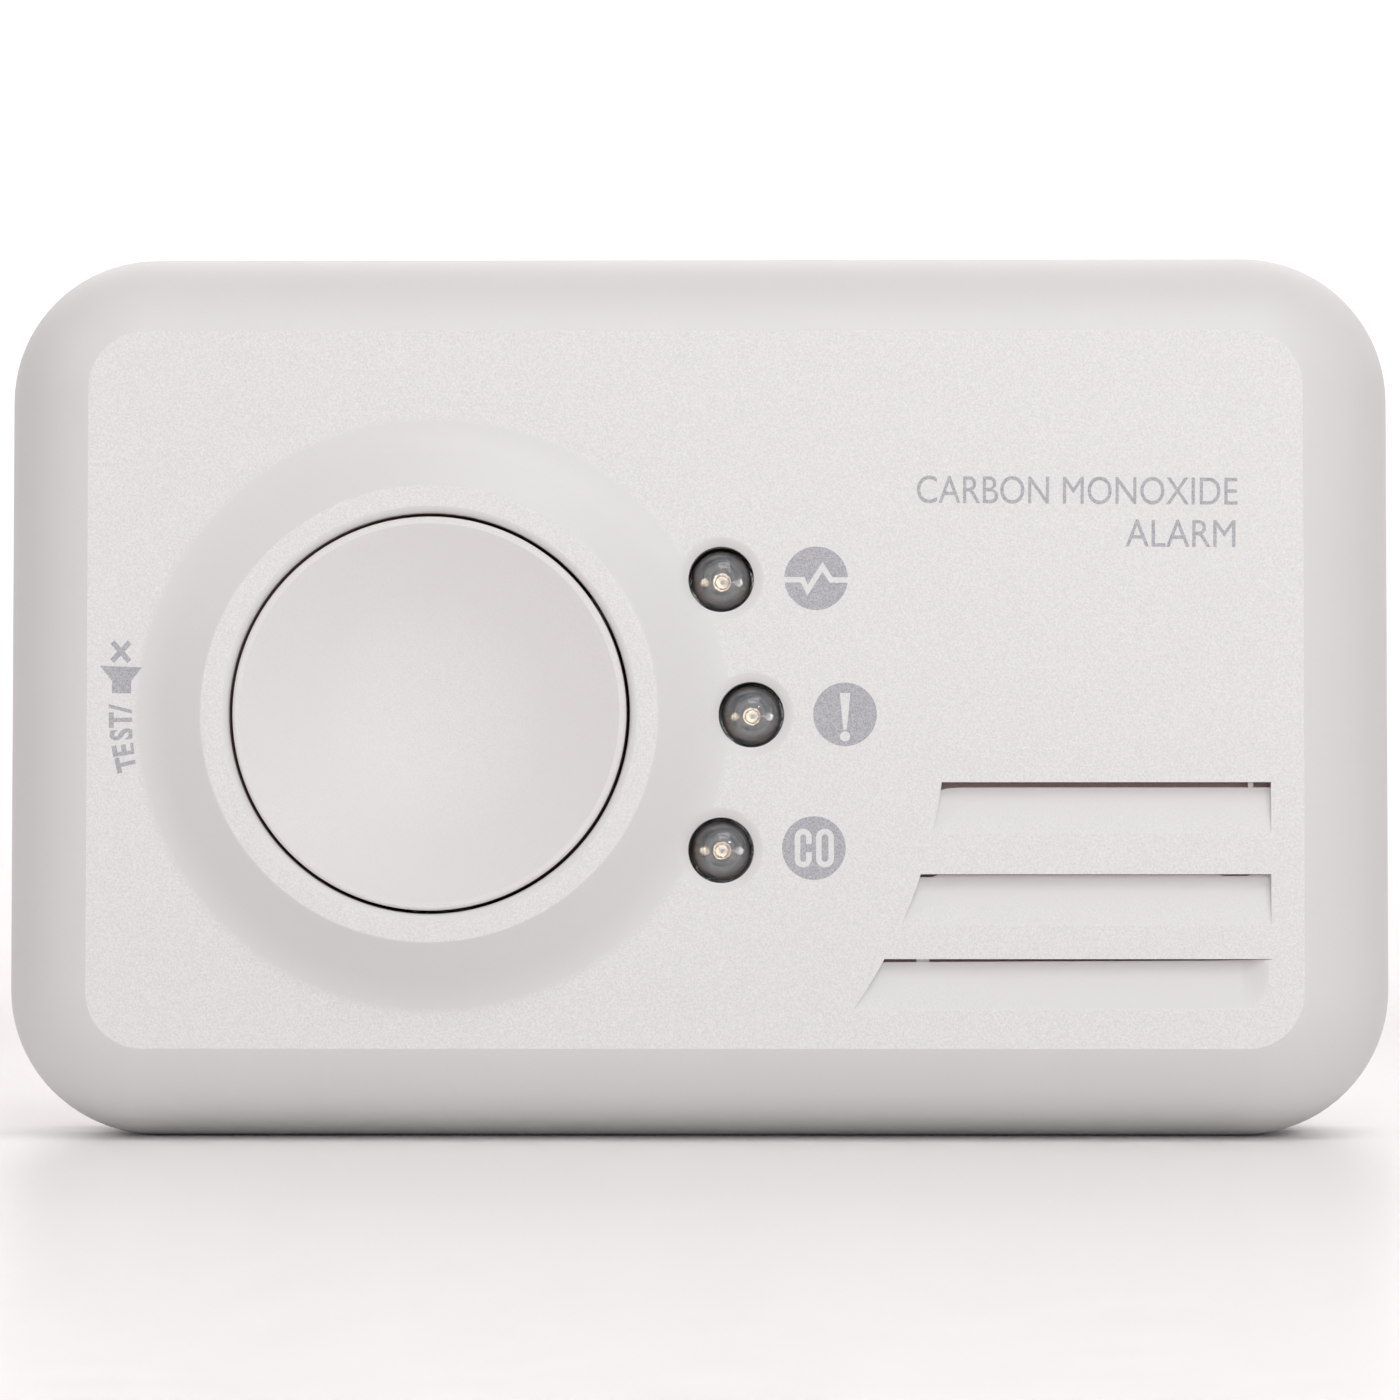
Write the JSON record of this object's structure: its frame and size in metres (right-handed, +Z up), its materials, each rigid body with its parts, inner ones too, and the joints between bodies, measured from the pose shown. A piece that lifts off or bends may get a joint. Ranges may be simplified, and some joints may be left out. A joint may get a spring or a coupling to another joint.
{
  "type": "carbon monoxide detector",
  "caption": "Rounded rectangular carbon monoxide alarm with a large round test button, clear indicator lamps, louvred sounder, rear battery door and keyhole hangers.",
  "frame": {"origin": "middle of the surface that the case stands on: halfway along its width and its depth", "axes": "+X to the right seen from the front, +Y from the front to the back, +Z up"},
  "size_m": [0.118, 0.034, 0.0752],
  "materials": {
    "case_plastic": "fine spark-eroded texture",
    "button_plastic": "satin",
    "led_epoxy": "polished clear",
    "lead_metal": "tinned",
    "board_laminate": "green solder mask",
    "black_plastic": "moulded black",
    "capacitor_sleeve": "shrunk sleeve",
    "coil_copper": "enamelled copper wire",
    "can_metal": "satin can",
    "gasket_foam": "closed-cell foam",
    "sounder_brass": "rolled brass",
    "sounder_ceramic": "fired ceramic with silver film",
    "cell_jacket": "printed film on steel",
    "contact_metal": "nickel plated spring steel",
    "screw_steel": "zinc plated"
  },
  "bodies": {
    "case": {"front_cover": "case_plastic", "rear_cover": "case_plastic", "test_switch_base": "black_plastic", "led_alarm_lens": "led_epoxy", "led_alarm_cathode": "lead_metal", "led_alarm_anode": "lead_metal", "led_fault_lens": "led_epoxy", "led_fault_cathode": "lead_metal", "led_fault_anode": "lead_metal", "led_power_lens": "led_epoxy", "led_power_cathode": "lead_metal", "led_power_anode": "lead_metal", "main_pcb": "board_laminate", "controller_chip": "black_plastic", "reservoir_capacitor": "capacitor_sleeve", "boost_coil": "coil_copper", "crystal_can": "can_metal", "co_sensor_can": "can_metal", "co_sensor_cap": "black_plastic", "sounder_gasket": "gasket_foam", "sounder_housing": "black_plastic", "sounder_plate": "sounder_brass", "sounder_ceramic": "sounder_ceramic", "battery_cell_lower": "cell_jacket", "battery_cell_upper": "cell_jacket", "terminal_plate_negative": "contact_metal", "terminal_plate_positive": "contact_metal", "terminal_spring_negative": "contact_metal", "link_plate": "contact_metal", "link_spring": "contact_metal", "case_screw_1": "screw_steel", "case_screw_2": "screw_steel", "case_screw_3": "screw_steel", "case_screw_4": "screw_steel", "pcb_screw_1": "screw_steel", "pcb_screw_2": "screw_steel", "pcb_screw_3": "screw_steel"},
    "button": {"test_button": "button_plastic"},
    "switch_plunger": {"test_switch_plunger": "black_plastic"},
    "door": {"battery_door": "case_plastic"}
  },
  "joints": [
    {"name": "button_press", "type": "slide", "parent": "case", "child": "button", "axis": [0, 1, 0], "range_m": [0, 0.0007], "stiffness_N_per_m": 2500},
    {"name": "plunger_press", "type": "slide", "parent": "case", "child": "switch_plunger", "axis": [0, 1, 0], "range_m": [0, 0.00045]},
    {"name": "door_hinge", "type": "hinge", "parent": "case", "child": "door", "pos_m": [-0.018, 0.0157, 0.0717], "axis": [1, 0, 0], "range_deg": [0, 95]}
  ],
  "couplings": [
    {"joint": "plunger_press", "follows": "button_press", "ratio": 0.64}
  ]
}
